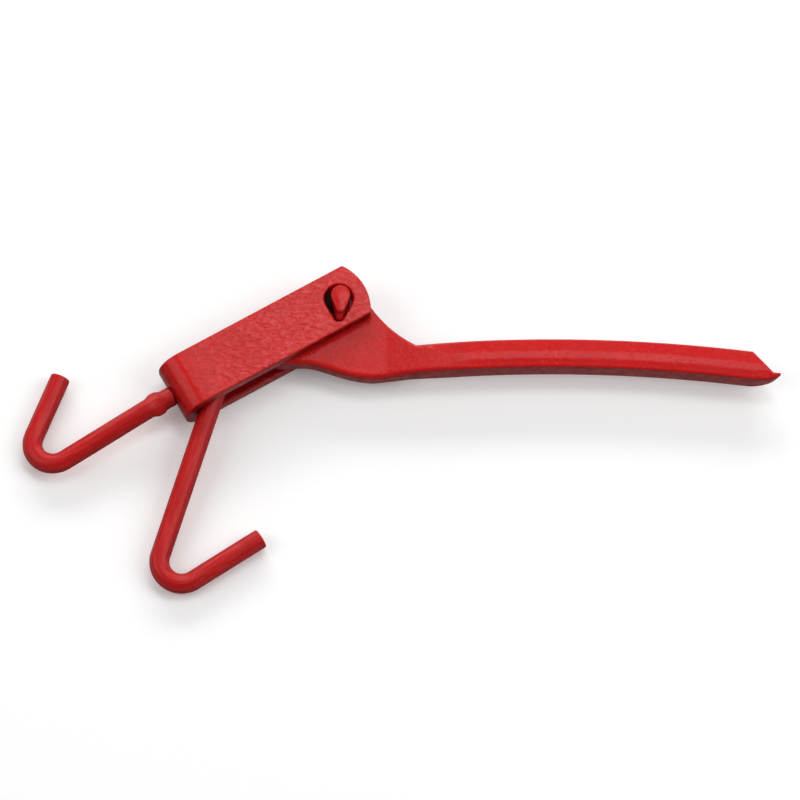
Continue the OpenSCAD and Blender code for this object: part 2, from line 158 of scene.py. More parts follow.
# tints: a pale dust, a lighter red for the painted glint, and a dark red for painted shade
tints = {"dust": (225, 120, 115), "paintedGlint": (226, 74, 70), "flankShade": (84, 9, 10)}
scales = {"lump": 150.0, "broad": 38.0, "grain": 420.0, "dust": 900.0, "blotch": 260.0}
# among the masks, one places the painted glint on the peel's crests and one sets painted shade by facing
masks = {"pit": (0.10, 0.34), "dust": (0.66, 0.78), "paintedGlint": (0.50, 0.72), "thin": (0.38, 0.62),
         "blotch": (0.36, 0.66), "facing": (0.10, 0.93), "level": (0.5, 0.9)}  # none below, full above
shares = {"thin": 0.45, "pit": 0.30, "dust": 0.05}  # the most of each that is mixed into the colour
roughen = {"broad": 0.12, "pit": 0.08, "dust": 0.12, "flank": 0.14, "keyholeShade": 0.35}
flankShade = {"gloss": 0.06, "least": 0.78, "blotch": 0.18}  # painted shade on flanks and undersides: the duller gloss there, and the least and the noise-driven shares of the darkening
innerFace = {"full": 11, "none": 15}  # painted shade on the lower arm's inner face: full under the first height, none above the second


def makePaint(name, alongRod):
    look = {**plainPaint, **paints[name]}
    material = bpy.data.materials.new(name)
    material.use_nodes = True
    material.node_tree.nodes.clear()
    tree = Tree(material.node_tree)
    if alongRod:
        place = tree.add("ShaderNodeAttribute", {"attribute_name": "rodPlace"}, {}, 1)
    else:
        place = tree.add("ShaderNodeTexCoord", {}, {}, 3)
    drawn = tree.add("ShaderNodeMapping", {}, {0: place, 3: look["drawn"]})

    def noise(at, scale, detail, roughness=0.5):
        return tree.add("ShaderNodeTexNoise", {}, {
            "Vector": at, "Scale": scale, "Detail": detail, "Roughness": roughness})

    peel = noise(drawn, look["fine"], 2.0, 0.55)
    lump = noise(drawn, scales["lump"], 3.0, 0.55)
    broad = noise(place, scales["broad"], 2.0)
    grain = tree.add("ShaderNodeTexVoronoi", {"feature": "SMOOTH_F1"}, {
        "Vector": drawn, "Scale": scales["grain"], "Smoothness": 0.6})
    pit = 1.0 - ramp(tree, grain, *masks["pit"])
    dust = ramp(tree, noise(place, scales["dust"], 1.0), *masks["dust"])

    height = peel * look["peel"] + lump * look["lump"] - pit * look["pits"]
    paintedGlint = ramp(tree, peel, *masks["paintedGlint"])  # painted glint: the orange peel's crests are made lighter in colour
    if look["bend"]:  # the bend was drawn smooth over its former
        along = tree.add("ShaderNodeVectorMath", {"operation": "DOT_PRODUCT"}, {0: place, 1: yokeAxis}, 1)
        start = pivotAt.dot(yokeAxis)
        inBend = ramp(tree, along, *[(start + u) * mm for u in look["bend"]])
        calm = 1.0 - ramp(tree, along, *[(start + u) * mm for u in look["calm"]]) * look["calmBy"]
        height = height * calm
        paintedGlint = paintedGlint * calm
    bump = tree.add("ShaderNodeBump", {}, {"Strength": 1.0, "Distance": 1.0 * mm, "Height": height})
    thin = ramp(tree, lump * 0.6 + broad * 0.4, *masks["thin"])
    deep = paintColour(*look["deep"])
    colour = blendColour(tree, thin * shares["thin"], paintColour(*look["colour"]), deep)
    colour = blendColour(tree, pit * shares["pit"], colour, deep)
    colour = blendColour(tree, dust * shares["dust"], colour, paintColour(*tints["dust"]))
    # painted glint on the peel's crests
    colour = blendColour(tree, paintedGlint * look["glintShare"], colour, paintColour(*tints["paintedGlint"]))

    # painted shade: flanks and undersides are made darker and duller according to which way they face
    facing = tree.add("ShaderNodeSeparateXYZ", {}, {0: tree.add("ShaderNodeTexCoord", {}, {}, 1)}).also(2)
    if alongRod:  # a rod looks the same whichever way up it is turned
        facing = abs(facing)
    blotch = ramp(tree, noise(place, scales["blotch"], 3.0), *masks["blotch"])
    flank = (1.0 - ramp(tree, facing, *masks["facing"])) * (blotch * flankShade["blotch"] + flankShade["least"])
    above = tree.add("ShaderNodeSeparateXYZ", {}, {0: place}).also(2)
    if look["inner"]:  # painted shade also on the lower arm's inner face, under the upper arm
        low = 1.0 - ramp(tree, above, innerFace["full"] * mm, innerFace["none"] * mm)
        flank = flank + ramp(tree, facing, *masks["level"]) * low * look["inner"]
    if look["keyholeShade"]:  # the disc round the pin is kept clear of the painted flank shade, and takes painted shade in the keyhole next to the pin
        fromPin = tree.add("ShaderNodeVectorMath", {"operation": "SUBTRACT"}, {
            0: place, 1: (pivotAt + Vector(paintedKeyholeShade["middle"])) * mm})
        level = tree.add("ShaderNodeVectorMath", {"operation": "MULTIPLY"}, {0: fromPin, 1: (1.0, 1.0, 0.0)})
        away = tree.add("ShaderNodeVectorMath", {"operation": "LENGTH"}, {0: level}, 1)
        flank = flank * ramp(tree, away, *[r * mm for r in paintedKeyholeShade["clean"]])
    # painted shade on flanks, undersides and the lower arm's inner face
    colour = blendColour(tree, flank * look["flank"], colour, paintColour(*tints["flankShade"]))
    rough = look["rough"] + (broad - 0.5) * roughen["broad"] + pit * roughen["pit"]
    rough = rough + dust * roughen["dust"] + flank * roughen["flank"]
    # painted shade, near black, in the keyhole's recess beside the pin, below the plate's top
    if look["keyholeShade"]:
        close = 1.0 - ramp(tree, away, paintedKeyholeShade["from"] * mm, paintedKeyholeShade["to"] * mm)
        fade = (paintedKeyholeShade["below"] - paintedKeyholeShade["fade"]) * mm
        low = 1.0 - ramp(tree, above, fade, paintedKeyholeShade["below"] * mm)
        keyholeShade = close * low * look["keyholeShade"]
        colour = blendColour(tree, keyholeShade, colour, paintColour(*paintedKeyholeShade["colour"]))
        rough = rough + keyholeShade * roughen["keyholeShade"]

    # where shade is painted, and in the bend, a copy of the paint with less gloss is mixed in
    glossy, dull = [tree.add("ShaderNodeBsdfPrincipled", {}, {
        "Base Color": colour, "Roughness": rough, "Normal": bump, "Specular IOR Level": level})
        for level in (look["gloss"], flankShade["gloss"])]
    dullness = flank + inBend * look["bendDull"] if look["bend"] else flank
    shader = tree.add("ShaderNodeMixShader", {}, {0: dullness, 1: glossy, 2: dull})
    tree.add("ShaderNodeOutputMaterial", {}, {"Surface": shader})
    return material


materials = {name: makePaint(name, name == "rodPaint") for name in paints}
print("paints made:", len(materials))

weldWithin = 0.002  # mm
creaseAngle = 32  # degrees
boreSpan = (2, 23)  # heights between which a bore's cutter stands, mm


def meshFrom(name, points, faces):
    mesh = bpy.data.meshes.new(name)
    mesh.from_pydata([Vector(p) * mm for p in points], [], faces)
    work = bmesh.new()
    work.from_mesh(mesh)
    bmesh.ops.remove_doubles(work, verts=work.verts, dist=weldWithin * mm)
    bmesh.ops.recalc_face_normals(work, faces=work.faces)
    work.to_mesh(mesh)
    work.free()
    return mesh


def objectFrom(name, mesh):
    made = bpy.data.objects.new(name, mesh)
    scene.collection.objects.link(made)
    return made


def cut(target, cutters):  # each cutter is taken away and removed
    for cutter in cutters:
        step = target.modifiers.new("cut", "BOOLEAN")
        step.operation, step.solver, step.object = "DIFFERENCE", "EXACT", cutter
        bpy.context.view_layer.update()
        seen = target.evaluated_get(bpy.context.evaluated_depsgraph_get())
        fresh = bpy.data.meshes.new_from_object(seen)
        target.modifiers.clear()
        target.data = fresh
        bpy.data.objects.remove(cutter)


def finishPiece(piece, body, node, material):
    mesh = piece.data
    mesh.materials.clear()
    mesh.materials.append(material)
    for face in mesh.polygons:
        face.use_smooth = True
        face.material_index = 0
    mesh.set_sharp_from_angle(angle=math.radians(creaseAngle))
    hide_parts(node)
    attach(piece, body)
    print(piece.name, len(mesh.polygons), "faces")


def ringFaces(first, second):  # quads between two equal loops of point numbers
    n = len(first)
    return [(first[i], first[(i + 1) % n], second[(i + 1) % n], second[i]) for i in range(n)]


def teardrop(r1, r2, reach, fine):  # points and outward normals round two circles and their tangents
    lean = math.acos((r1 - r2) / reach)
    around = []
    small = max(6, fine // 3)
    for r, ahead, start, end, steps in (r1, 0, lean, 2 * math.pi - lean, fine), (r2, reach, -lean, lean, small):
        for i in range(steps + 1):
            a = mix(start, end, i / steps)
            c, s = math.cos(a), math.sin(a)
            around.append((Vector((ahead + r * c, r * s)), Vector((c, s))))
    return around


def turned(flat, angle):
    c, s = math.cos(angle), math.sin(angle)
    return Vector((flat.x * c - flat.y * s, flat.x * s + flat.y * c))


def revolved(name, profile, centre, sides=48):  # profile of (radius, height)
    points, faces, loops = [], [], []
    for r, z in profile:
        loop = []
        for i in range(sides):
            a = 2 * math.pi * i / sides
            loop.append(len(points))
            points.append((centre.x + r * math.cos(a), centre.y + r * math.sin(a), z))
        loops.append(loop)
    for low, high in zip(loops, loops[1:]):
        faces += ringFaces(low, high)
    faces += [tuple(reversed(loops[0])), tuple(loops[-1])]
    return meshFrom(name, points, faces)


# yoke: flat bar bent to a U, with a keyhole in its upper arm
yoke = {
    "width": 29.0, "thick": 7.0, "height": 25.0, "reach": 96.4, "nose": 13.4, "noseRadius": 26.0,
    "bendRadius": 11.0, "edge": 0.80, "innerEdge": 1.35, "rim": 0.3, "corner": 1.7, "pastCorner": 4,
    "keyholeRadius": 7.2, "lobeRadius": 2.6, "lobeReach": 9.6, "keyholeShift": 1.1, "keyholeTurn": 200,
    "lobeTurn": 270, "keyholeEdge": 0.95, "wallHole": 4.25, "wallFrom": 87.0, "wallTo": 99.0,
    "footHole": 3.93, "footHead": 5.23, "tied": 30,
    "noseSteps": 26, "cornerSteps": 6, "armSteps": 11, "bendSteps": 16, "edgeSteps": 5, "holeSteps": 54,
}


def buildYoke():
    half = yoke["width"] / 2
    outer = yoke["bendRadius"]
    straight = yoke["reach"] - outer
    quarter = outer * math.pi / 2
    wall = yoke["height"] - 2 * outer
    bendEnds = [straight, straight + quarter, straight + quarter + wall, straight + 2 * quarter + wall]
    total = bendEnds[3] + straight

    def place(s, v, t):  # from the bar laid out flat, t deep, to the bent bar
        if s < bendEnds[0]:
            u, z = s, yoke["height"] - t
        elif s < bendEnds[1]:
            a = (s - bendEnds[0]) / outer
            u, z = straight + (outer - t) * math.sin(a), yoke["height"] - outer + (outer - t) * math.cos(a)
        elif s < bendEnds[2]:
            u, z = yoke["reach"] - t, yoke["height"] - outer - (s - bendEnds[1])
        elif s < bendEnds[3]:
            a = (s - bendEnds[2]) / outer
            u, z = straight + (outer - t) * math.cos(a), outer - (outer - t) * math.sin(a)
        else:
            u, z = straight - (s - bendEnds[3]), t
        flat = pivotAt + yokeAxis * u + yokeSide * v
        return (flat.x, flat.y, z)

    # outline of the laid-out bar, with its normals; each end is a shallow arc with rounded corners
    big, small = yoke["noseRadius"], yoke["corner"]
    arcAt = big - yoke["nose"]
    cornerV = half - small
    cornerS = arcAt - math.sqrt((big - small) ** 2 - cornerV ** 2)
    arcTurn = math.atan2(cornerV, arcAt - cornerS)
    n, few = yoke["noseSteps"], yoke["cornerSteps"]
    nose = [(arcAt, 0.0, big, mix(-arcTurn, arcTurn, i / n)) for i in range(1, n)]
    bend = math.pi / 2 - arcTurn
    upper = [(cornerS, cornerV, small, arcTurn + bend * i / few) for i in range(few + 1)]
    lower = [(cornerS, -cornerV, small, -math.pi / 2 + bend * i / few) for i in range(few + 1)]
    startEnd = []
    for s, v, r, a in lower + nose + upper:
        away = Vector((-math.cos(a), math.sin(a)))
        startEnd.append((Vector((s, v)) + away * r, away))
    armFrom, n = cornerS + yoke["pastCorner"], yoke["armSteps"]
    stations = span(armFrom, straight, n)
    stations += span(bendEnds[0], bendEnds[1], yoke["bendSteps"]) + span(bendEnds[1], bendEnds[2], 2)
    stations += span(bendEnds[2], bendEnds[3], yoke["bendSteps"])
    stations += [total - s for s in reversed(span(armFrom, straight + 0.001, n))]
    side = [(Vector((s, half)), Vector((0, 1))) for s in stations]
    farEnd = [(Vector((total - p.x, p.y)), Vector((-n.x, n.y))) for p, n in reversed(startEnd)]
    back = [(Vector((p.x, -half)), Vector((0, -1))) for p, n in reversed(side)]
    outline = startEnd + side + farEnd + back
    upRow = [len(startEnd) + i for i in range(len(side))]
    downRow = [len(startEnd) + len(side) + len(farEnd) + len(side) - 1 - i for i in range(len(side))]

    shift = math.radians(yoke["keyholeTurn"])
    middle = Vector((math.cos(shift), math.sin(shift), 0)) * yoke["keyholeShift"]
    axisTurn = math.atan2(yokeAxis.y, yokeAxis.x)
    keyMiddle = Vector((middle.dot(yokeAxis), middle.dot(yokeSide)))
    keyTurn = math.radians(yoke["lobeTurn"]) - axisTurn
    drop = teardrop(yoke["keyholeRadius"], yoke["lobeRadius"], yoke["lobeReach"], yoke["holeSteps"])
    keyhole = [(keyMiddle + turned(p, keyTurn), turned(n, keyTurn)) for p, n in drop]

    points, faces = [], []

    def loopOf(line, inward, t):  # a positive inward moves the line into the bar
        loop = []
        for p, n in line:
            q = p - n * inward
            loop.append(len(points))
            points.append(place(q.x, q.y, t))
        return loop

    def rolled(line, r, innerR, sign):  # loops from the outer skin, round the edge, to the inner skin
        turns = [math.pi / 2 * i / yoke["edgeSteps"] for i in range(yoke["edgeSteps"] + 1)]
        rows = [(r + yoke["rim"], 0.0)] + [(r * (1 - math.sin(a)), r * (1 - math.cos(a))) for a in turns]
        for a in reversed(turns):
            rows.append((innerR * (1 - math.sin(a)), yoke["thick"] - innerR * (1 - math.cos(a))))
        rows += [(innerR + yoke["rim"], yoke["thick"])]
        return [loopOf(line, sign * d, t) for d, t in rows], rows

    edgeLoops, edgeRows = rolled(outline, yoke["edge"], yoke["innerEdge"], 1)
    holeLoops, holeRows = rolled(keyhole, yoke["keyholeEdge"], yoke["keyholeEdge"], -1)
    for loops in (edgeLoops, holeLoops):
        for a, b in zip(loops, loops[1:]):
            faces += ringFaces(a, b)

    def fill(outLoop, outRow, holeLoop, holeRow):  # in the laid-out bar, with lines across its bends
        flat = [p - n * outRow for p, n in outline]
        hole = [p + n * holeRow for p, n in keyhole]
        n, m = len(flat), len(hole)
        lines = [(i, (i + 1) % n) for i in range(n)] + [(n + i, n + (i + 1) % m) for i in range(m)]
        near, far = straight - yoke["tied"], total - straight + yoke["tied"]
        lines += [(a, b) for a, b in zip(upRow, downRow) if near < flat[a].x < far]
        found = geometry.delaunay_2d_cdt(flat + hole, lines, [], 1, 1e-6)
        verts, tris, origins = found[0], found[2], found[3]
        numbers = [(outLoop + holeLoop)[o[0]] if o else None for o in origins]
        for tri in tris:
            if None in [numbers[i] for i in tri]:
                continue
            middleAt = sum((verts[i] for i in tri), Vector((0, 0))) / 3
            if all(o[0] >= n for o in (origins[i] for i in tri)) and insideLine(middleAt, hole):
                continue
            faces.append(tuple(numbers[i] for i in tri))

    for end in (0, -1):
        fill(edgeLoops[end], edgeRows[end][0], holeLoops[end], holeRows[end][0])
    piece = objectFrom("yokeStrap", meshFrom("yokeStrap", points, faces))

    wide, small = yoke["footHead"], yoke["footHole"]
    footProfile = [(wide + 1, -1), (wide, 0.1), (small, 1.4), (small, 9)]
    foot = revolved("footCut", footProfile, pivotAt)
    wallFrom, wallTo = pivotAt + yokeAxis * yoke["wallFrom"], pivotAt + yokeAxis * yoke["wallTo"]
    wallCut = objectFrom("wallCut", rodMesh("wallCut", wallFrom, wallTo, yoke["wallHole"]))
    cut(piece, [objectFrom("footCut", foot), wallCut])
    finishPiece(piece, "yoke", "yoke", materials["yokePaint"])


def insideLine(p, line):
    inside = False
    for a, b in zip(line, line[1:] + line[:1]):
        if (a.y > p.y) != (b.y > p.y) and p.x < a.x + (p.y - a.y) * (b.x - a.x) / (b.y - a.y):
            inside = not inside
    return inside


def rodMesh(name, start, end, r, sides=40):  # a plain cutter between two points
    along = (end - start).normalized()
    across = along.cross(Vector((0, 0, 1))).normalized()
    up = across.cross(along)
    points = []
    for middle in (start, end):
        for i in range(sides):
            a = 2 * math.pi * i / sides
            level = Vector((middle.x, middle.y, midZ))
            points.append(level + across * r * math.cos(a) + up * r * math.sin(a))
    low, high = list(range(sides)), list(range(sides, 2 * sides))
    return meshFrom(name, points, ringFaces(low, high) + [tuple(reversed(low)), tuple(high)])


# pivot pin: round shank, riveted foot and a proud head with one ear
pin = {
    "radius": 4.5, "headRadius": 4.85, "foot": 3.9, "footHead": 5.2, "earFrom": 18.6, "top": 30.0,
    "earRadius": 2.2, "earReach": 7.2, "earTurn": 270, "round": 1.0, "dome": 0.35, "domeY": -1.2,
    "domeFlat": 0.03, "footReach": 9.91, "footRadius": 1.94, "footTurn": 267.4, "footTop": 24.85,
    "slopeTop": 27.4, "around": 45, "roundSteps": 6, "domeSteps": 6,
}


def buildPin():
    turn = math.radians(pin["earTurn"])
    head = teardrop(pin["headRadius"], pin["earRadius"], pin["earReach"], pin["around"])
    around = [(turned(p, turn), turned(n, turn)) for p, n in head]
    points, loops = [], []

    def loop(flat, z):
        loops.append(list(range(len(points), len(points) + len(flat))))
        points.extend((pivotAt.x + p.x, pivotAt.y + p.y, z) for p in flat)

    directions = [p.normalized() for p, n in around]
    shank = [(pin["footHead"] - 0.25, 0.1), (pin["footHead"] - 0.17, 0.25), (pin["foot"] - 0.02, 1.42),
             (pin["foot"], 6.9), (pin["radius"], 7.0), (pin["radius"], pin["earFrom"])]
    for r, z in shank:
        loop([d * r for d in directions], z)
    footTurn = math.radians(pin["footTurn"])
    slope = teardrop(pin["radius"], pin["footRadius"], pin["footReach"], pin["around"])
    foot = [turned(p, footTurn) for p, n in slope]
    loop(foot, pin["earFrom"])
    loop(foot, pin["footTop"])
    loop([p for p, n in around], pin["slopeTop"])
    r = pin["round"]
    rim = pin["top"] - pin["dome"]
    for i in range(pin["roundSteps"] + 1):
        a = math.pi / 2 * i / pin["roundSteps"]
        loop([p - n * r * (1 - math.cos(a)) for p, n in around], rim - r + r * math.sin(a))
    inner = [p - n * r for p, n in around]
    centre = Vector((0, pin["domeY"]))
    for i in range(1, pin["domeSteps"]):
        k = 1 - i / pin["domeSteps"]
        loop([centre + (p - centre) * k for p in inner], rim + (pin["dome"] - pin["domeFlat"]) * (1 - k * k))
    faces = []
    for a, b in zip(loops, loops[1:]):
        faces += ringFaces(a, b)
    faces += [tuple(reversed(loops[0])), tuple(loops[-1])]
    piece = objectFrom("pivotPinEared", meshFrom("pivotPinEared", points, faces))
    finishPiece(piece, "yoke", "pivot_pin", materials["pinPaint"])


# lever: one forging, from the forked toe to the clipped tip
lever = {
    "headThick": 10.0, "eyeRadius": 12.0, "toeRadius": 10.2, "toeReach": 59.7, "toeTurn": 203.0,
    "hollowRadius": 66.6, "hollowX": 70.0603, "hollowY": 35.6302, "hollowFrom": 10.6962, "notch": 37.6,
    "belly": 0.7, "bellyAt": 21.0, "bellyHalf": 16.0, "necksFrom": -19.0, "necksTo": 17.5, "neckRise": 1.2,
    "gripWidth": 14.9, "gripHeight": 14.0, "bowRadius": 775.0, "crownX": 104.6, "crownY": 27.1, "end": 219.1,
    "snipe": 13.5, "clipX": 215.4, "clipY": -37.4, "tipWidth": 0.8, "tipThick": 2.0, "prow": 16.0,
    "curl": 2.2, "curlLong": 19.0, "beak": 2.0, "beakLong": 6.0, "beakPower": 1.7,
    "band": 3.7, "slope": 6.7, "sideSlope": 8.0, "ridge": 0.5, "flatTo": 22.9, "crease": 24.0, "nearLag": 10.4,
    "headEdge": 2.2, "gripEdge": 1.2, "edgeLead": 7.6, "edgeLong": 45.0, "edgeSteps": 6,
    "bore": 4.58, "rivetBore": 4.03, "rivetSink": 5.05, "slotHalf": 2.2, "slotBehind": 10.5, "slotAhead": 24,
    "slotWide": 22,
}


def leverShape():
    k = lever
    toe = Vector((math.cos(math.radians(k["toeTurn"])), math.sin(math.radians(k["toeTurn"])))) * k["toeReach"]
    bowY = -k["crownY"] - k["bowRadius"]
    halfGrip = k["gripWidth"] / 2
    flank = math.radians(k["toeTurn"] - 90) - math.asin((k["eyeRadius"] - k["toeRadius"]) / k["toeReach"])
    flankToe = toe + Vector((math.cos(flank), math.sin(flank))) * k["toeRadius"]
    flankEye = Vector((math.cos(flank), math.sin(flank))) * k["eyeRadius"]
    snipeX = k["end"] - k["snipe"]
    curlFrom = k["end"] - k["curlLong"]
    farDrop = k["slope"] * math.tan(math.radians(k["sideSlope"]))
    nearWide = k["gripWidth"] - k["slope"] - k["band"]
    nearDrop = nearWide * math.tan(math.radians(k["sideSlope"]))
    bandZ = midZ + k["gripHeight"] / 2
    browZ = bandZ - farDrop
    headHi = midZ + k["headThick"] / 2

    def arcY(cx, cy, r, x):
        return cy + math.sqrt(max(0.0, r * r - (x - cx) ** 2))

    def gripFar(x):
        return arcY(k["crownX"], bowY, k["bowRadius"] + halfGrip, x)

    def gripNear(x):
        return arcY(k["crownX"], bowY, k["bowRadius"] - halfGrip, x)

    tipNear = gripNear(k["end"]) + k["curl"] + k["beak"]

    def farY(x):
        if x < flankToe.x:
            return arcY(toe.x, toe.y, k["toeRadius"], x)
        if x < flankEye.x:
            return mix(flankToe.y, flankEye.y, (x - flankToe.x) / (flankEye.x - flankToe.x))
        if x < k["hollowFrom"]:
            return arcY(0, 0, k["eyeRadius"], x)
        if x < k["notch"]:
            return k["hollowY"] - math.sqrt(k["hollowRadius"] ** 2 - (x - k["hollowX"]) ** 2)
        if x < snipeX:
            return gripFar(x)
        if x < k["clipX"]:
            return mix(gripFar(snipeX), k["clipY"], (x - snipeX) / (k["clipX"] - snipeX))
        return mix(k["clipY"], tipNear + k["tipWidth"], (x - k["clipX"]) / (k["end"] - k["clipX"]))

    def nearY(x):
        if x < toe.x:
            return toe.y - math.sqrt(max(0.0, k["toeRadius"] ** 2 - (x - toe.x) ** 2))
        edge = toe.y - k["toeRadius"]
        low = mix(edge, edge + k["neckRise"], grow(x, toe.x, k["necksFrom"]))
        off = abs(x - k["bellyAt"]) / k["bellyHalf"]
        swell = 0.0 if off > 1 else k["belly"] * math.cos(math.pi / 2 * off) ** 2
        y = mix(low, gripNear(x), smooth((x - k["necksFrom"]) / (k["necksTo"] - k["necksFrom"])))
        curl = k["curl"] * grow(x, curlFrom, k["end"]) ** 2
        y += curl + k["beak"] * grow(x, k["end"] - k["beakLong"], k["end"]) ** k["beakPower"]
        return y - swell

    def flatZ(x):
        if x < k["flatTo"]:
            return headHi
        if x < k["notch"]:
            return mix(headHi, browZ, grow(x, k["flatTo"], k["notch"]))
        return browZ + farDrop * math.sin(math.pi / 2 * grow(x, k["notch"], k["notch"] + k["crease"]))

    def prow(x):
        return (k["gripHeight"] - k["tipThick"]) * grow(x, k["end"] - k["prow"], k["end"]) ** 2

    def ring(x):
        yn, yf = nearY(x), farY(x)
        w = yf - yn
        zt = flatZ(x)
        zf = min(zt, browZ)
        clipped = max(0.0, gripFar(x) - yf) if x > snipeX else 0.0
        if clipped:
            zf = min(zt, browZ + clipped * math.tan(math.radians(k["sideSlope"])))
        zn = zt - nearDrop * smooth((x - k["notch"] - k["nearLag"]) / k["crease"])
        lift = prow(x)
        under = 2 * midZ - bandZ + lift
        r = mix(k["headEdge"], k["gripEdge"], smooth((x - k["notch"] + k["edgeLead"]) / k["edgeLong"]))
        r = min(r, 0.4 * w, 0.4 * (zf - under))
        opened = math.sin(math.pi / 2 * grow(x, k["notch"], k["notch"] + k["crease"]))
        farIn = min(max(r + 0.2, k["slope"] * opened), 0.55 * w)
        nearIn = min(max(r + 0.1, nearWide), 0.4 * w)
        if clipped:  # past the start of the clip each facet keeps its slope
            farIn = min(max(r + 0.2, k["slope"] - clipped), 0.5 * w)
            nearIn = min(nearWide, w - farIn - 0.05 * w)
            zn = zt - nearIn * math.tan(math.radians(k["sideSlope"]))
        bottoms = [min(2 * midZ - z + lift, z - 2.2 * r) for z in (zn, zt, zf)]
        nearRun, farRun = nearIn - r, farIn - r
        soft = min(k["ridge"], 0.12 * nearRun + 0.02, 0.12 * farRun + 0.02)
        band = w - nearIn - farIn  # each crest takes under half a facet and under a quarter of the band
        soft = max(0.0, min(soft, 0.45 * nearRun, 0.45 * farRun, 0.24 * band))

        def top(zNear, zMid, zFar, sign):  # from the near wall over the top to the far wall
            row = []
            for i in range(k["edgeSteps"] + 1):
                a = math.pi / 2 * i / k["edgeSteps"]
                row.append((yn + r - r * math.cos(a), zNear - sign * (r - r * math.sin(a))))
            for d in (-2, -1, 1, 2):
                share = d * soft / nearRun if nearRun > 0.01 else 0
                y = yn + nearIn + d * soft
                row.append((y, mix(zMid, zNear, -share) if d < 0 else zMid))
            for d in (-2, -1, 1, 2):
                share = d * soft / farRun if farRun > 0.01 else 0
                y = yf - farIn + d * soft
                row.append((y, zMid if d < 0 else mix(zMid, zFar, share)))
            for i in range(k["edgeSteps"] + 1):
                a = math.pi / 2 * i / k["edgeSteps"]
                row.append((yf - r + r * math.sin(a), zFar - sign * (r - r * math.cos(a))))
            return row

        upper = top(zn, zt, zf, 1)
        lower = top(bottoms[0], bottoms[1], bottoms[2], -1)
        line = upper + list(reversed(lower))
        if x < toe.x:  # the toe's end is rolled over all round, not only at its sides
            rolled = []
            full = k["headEdge"]
            for y, z in line:
                deep = k["toeRadius"] - (Vector((x, y)) - toe).length
                drop = 0.0 if deep > full else full - math.sqrt(max(0.0, full * full - (full - deep) ** 2))
                limit = k["headThick"] / 2 - drop
                rolled.append((y, min(max(z, midZ - limit), midZ + limit)))
            line = rolled
        return [(x, y, z) for y, z in line]

    stations = [toe.x - k["toeRadius"] * math.cos(math.radians(a)) for a in
                (3, 7, 11, 15, 20, 25, 30, 35, 40, 46, 52, 58, 64, 70, 76, 83)]
    notchHalf, creaseEnd = 2.4, k["notch"] + k["crease"] + 16
    places = [toe.x, flankEye.x - 1, k["hollowFrom"], k["notch"] - notchHalf, k["notch"] + notchHalf,
              creaseEnd, curlFrom, snipeX, k["clipX"], k["end"] - 0.3]
    for a, b, steps in zip(places, places[1:], (26, 26, 26, 8, 32, 50, 8, 18, 10)):
        stations += span(a, b, steps)
    stations += [places[-1], k["end"]]
    return toe, [ring(x) for x in stations]


def buildLever():
    toe, rings = leverShape()
    n = len(rings[0])
    points = [(pivotAt.x + x, pivotAt.y + y, z) for row in rings for x, y, z in row]
    faces = []
    for i in range(len(rings) - 1):
        faces += ringFaces(list(range(i * n, i * n + n)), list(range(i * n + n, i * n + 2 * n)))
    faces += [tuple(reversed(range(n))), tuple(range((len(rings) - 1) * n, len(rings) * n))]
    piece = objectFrom("leverForging", meshFrom("leverForging", points, faces))

    toeAt = pivotAt + Vector((toe.x, toe.y, 0))
    out = Vector((toe.x, toe.y, 0)).normalized()
    across = Vector((-out.y, out.x, 0))
    up = Vector((0, 0, 1))
    corners = []
    for a in (-lever["slotBehind"], lever["slotAhead"]):
        for b in (-lever["slotWide"], lever["slotWide"]):
            for c in (-lever["slotHalf"], lever["slotHalf"]):
                corners.append(toeAt + out * a + across * b + up * c)
    box = [(0, 1, 3, 2), (4, 6, 7, 5), (0, 4, 5, 1), (2, 3, 7, 6), (0, 2, 6, 4), (1, 5, 7, 3)]
    slot = objectFrom("slotCut", meshFrom("slotCut", corners, box))
    bore = objectFrom("boreCut", revolved("boreCut", [(lever["bore"], z) for z in boreSpan], pivotAt, 64))
    hi, lo = midZ + lever["headThick"] / 2, midZ - lever["headThick"] / 2
    small, wide = lever["rivetBore"], lever["rivetSink"]
    sink = wide - small
    profile = [(wide, lo - 2), (wide, lo), (small, lo + sink)]
    profile += [(small, hi - sink), (wide, hi), (wide, hi + 2)]
    holes = revolved("rivetCut", profile, toeAt, 56)
    cut(piece, [slot, bore, objectFrom("rivetCut", holes)])
    finishPiece(piece, "lever", "lever", materials["leverPaint"])


# toe rivet: countersunk heads, dressed flush
rivet = {"radius": 3.98, "head": 4.93, "rim": 0.10}


def buildRivet():
    hi, lo = midZ + lever["headThick"] / 2, midZ - lever["headThick"] / 2
    r, head, rim = rivet["radius"], rivet["head"], rivet["rim"]
    sink = head - r
    upper = [(head, hi - rim), (head - 0.06, hi - 0.03), (head - 0.2, hi), (1.2, hi), (0.3, hi)]
    lower = [(q, 2 * midZ - z) for q, z in reversed(upper)]
    profile = lower + [(r, lo + sink + rim), (r, hi - sink - rim)] + upper
    piece = objectFrom("toeRivetHeads", revolved("toeRivetHeads", profile, rivetAt))
    finishPiece(piece, "lever", "toe_rivet", materials["rivetPaint"])


